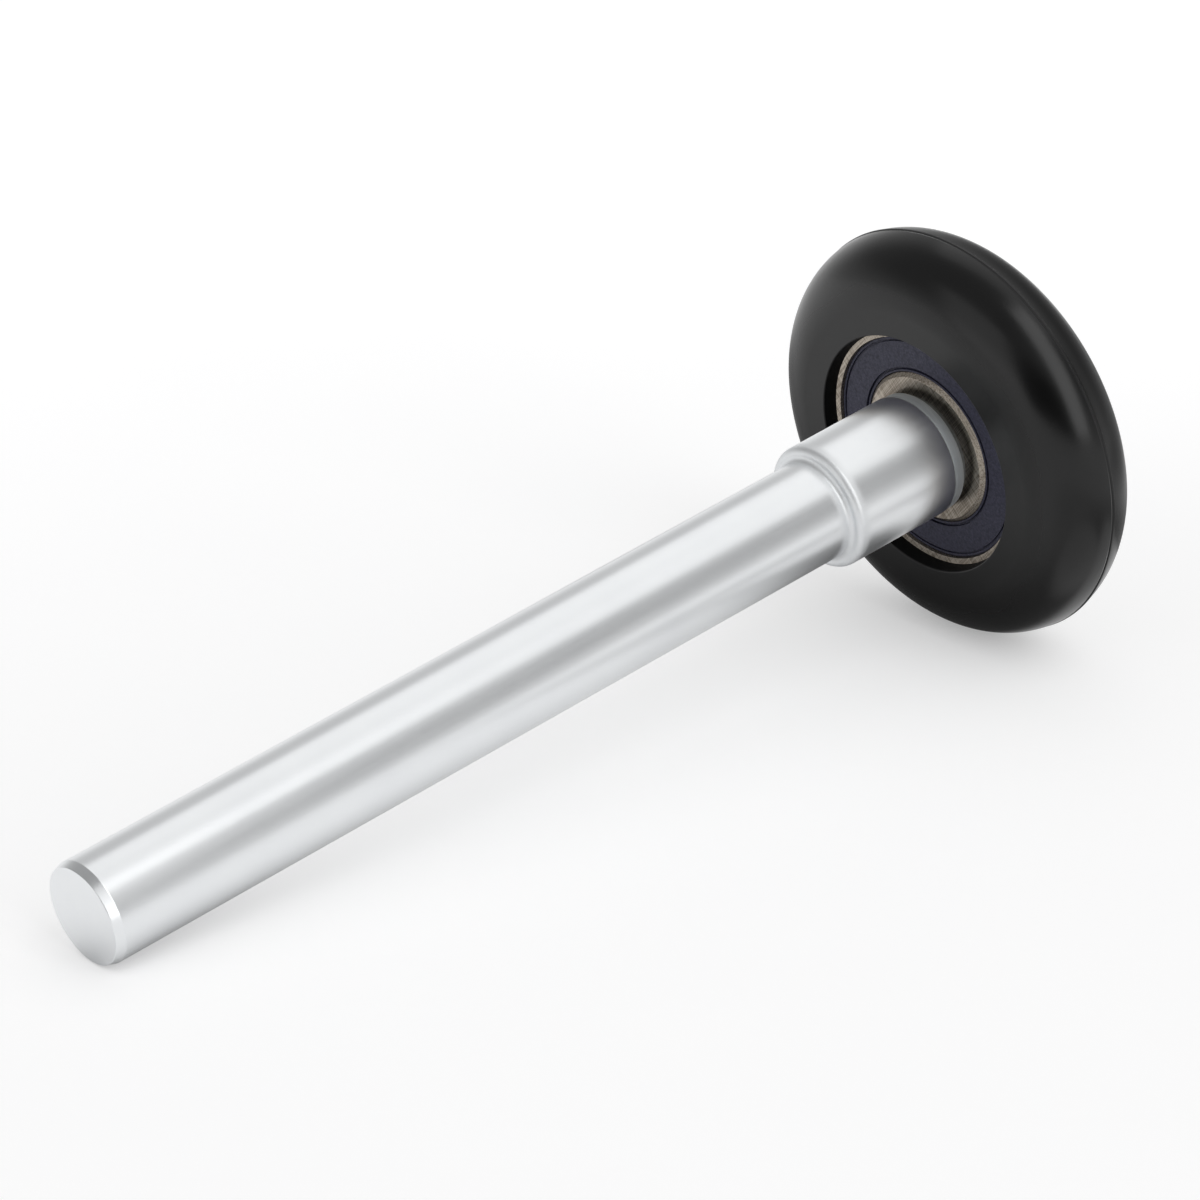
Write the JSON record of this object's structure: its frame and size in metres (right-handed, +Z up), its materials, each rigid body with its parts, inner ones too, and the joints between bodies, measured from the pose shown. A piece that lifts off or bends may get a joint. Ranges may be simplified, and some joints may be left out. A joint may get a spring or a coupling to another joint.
{
  "type": "garage door roller",
  "caption": "Garage door roller: a stepped steel stem riveted through a sealed ball bearing, whose outer ring carries a round-edged black nylon tyre that spins freely.",
  "frame": {"origin": "the wheel's centre, on the axle line, midway between the tyre's two faces", "axes": "+Y is the spin axis and points away from the stem, so the stem's tip is at the far end of -Y; +Z is up and +X to the side, which are alike on this round part"},
  "size_m": [0.0466, 0.1239, 0.0466],
  "materials": {
    "zinc_plated_steel": "bright zinc plating, satin",
    "ground_bearing_steel": "ground, slightly warm",
    "polished_bearing_steel": "polished",
    "pressed_steel": "pressed, oiled",
    "nitrile_rubber": "moulded, fine grain, dark blue-black",
    "black_nylon": "moulded, satin black"
  },
  "bodies": {
    "stem_and_inner_ring": {"stem": "zinc_plated_steel", "rear_washer": "zinc_plated_steel", "bearing_inner_ring": "ground_bearing_steel"},
    "wheel": {"tyre": "black_nylon", "bearing_outer_ring": "ground_bearing_steel", "seal_front": "nitrile_rubber", "seal_rear": "nitrile_rubber", "seal_plate_front": "pressed_steel", "seal_plate_rear": "pressed_steel"},
    "cage": {"cage_front": "pressed_steel", "cage_rear": "pressed_steel", "cage_rivets": "pressed_steel"},
    "ball_1_body": {"ball_1": "polished_bearing_steel"},
    "ball_2_body": {"ball_2": "polished_bearing_steel"},
    "ball_3_body": {"ball_3": "polished_bearing_steel"},
    "ball_4_body": {"ball_4": "polished_bearing_steel"},
    "ball_5_body": {"ball_5": "polished_bearing_steel"},
    "ball_6_body": {"ball_6": "polished_bearing_steel"},
    "ball_7_body": {"ball_7": "polished_bearing_steel"},
    "ball_8_body": {"ball_8": "polished_bearing_steel"}
  },
  "joints": [
    {"name": "wheel_spin", "type": "hinge", "parent": "stem_and_inner_ring", "child": "wheel", "pos_m": [0, 0, 0], "axis": [0, 1, 0], "continuous": true},
    {"name": "cage_spin", "type": "hinge", "parent": "stem_and_inner_ring", "child": "cage", "pos_m": [0, 0, 0], "axis": [0, 1, 0], "continuous": true},
    {"name": "ball_1_spin", "type": "hinge", "parent": "cage", "child": "ball_1_body", "pos_m": [0.00924, 0, 0.00383], "axis": [0, 1, 0], "continuous": true},
    {"name": "ball_2_spin", "type": "hinge", "parent": "cage", "child": "ball_2_body", "pos_m": [0.00383, 0, 0.00924], "axis": [0, 1, 0], "continuous": true},
    {"name": "ball_3_spin", "type": "hinge", "parent": "cage", "child": "ball_3_body", "pos_m": [-0.00383, 0, 0.00924], "axis": [0, 1, 0], "continuous": true},
    {"name": "ball_4_spin", "type": "hinge", "parent": "cage", "child": "ball_4_body", "pos_m": [-0.00924, 0, 0.00383], "axis": [0, 1, 0], "continuous": true},
    {"name": "ball_5_spin", "type": "hinge", "parent": "cage", "child": "ball_5_body", "pos_m": [-0.00924, 0, -0.00383], "axis": [0, 1, 0], "continuous": true},
    {"name": "ball_6_spin", "type": "hinge", "parent": "cage", "child": "ball_6_body", "pos_m": [-0.00383, 0, -0.00924], "axis": [0, 1, 0], "continuous": true},
    {"name": "ball_7_spin", "type": "hinge", "parent": "cage", "child": "ball_7_body", "pos_m": [0.00383, 0, -0.00924], "axis": [0, 1, 0], "continuous": true},
    {"name": "ball_8_spin", "type": "hinge", "parent": "cage", "child": "ball_8_body", "pos_m": [0.00924, 0, -0.00383], "axis": [0, 1, 0], "continuous": true}
  ],
  "couplings": [
    {"joint": "cage_spin", "follows": "wheel_spin", "ratio": 0.61905},
    {"joint": "ball_1_spin", "follows": "wheel_spin", "ratio": 1.9809},
    {"joint": "ball_2_spin", "follows": "wheel_spin", "ratio": 1.9809},
    {"joint": "ball_3_spin", "follows": "wheel_spin", "ratio": 1.9809},
    {"joint": "ball_4_spin", "follows": "wheel_spin", "ratio": 1.9809},
    {"joint": "ball_5_spin", "follows": "wheel_spin", "ratio": 1.9809},
    {"joint": "ball_6_spin", "follows": "wheel_spin", "ratio": 1.9809},
    {"joint": "ball_7_spin", "follows": "wheel_spin", "ratio": 1.9809},
    {"joint": "ball_8_spin", "follows": "wheel_spin", "ratio": 1.9809}
  ]
}
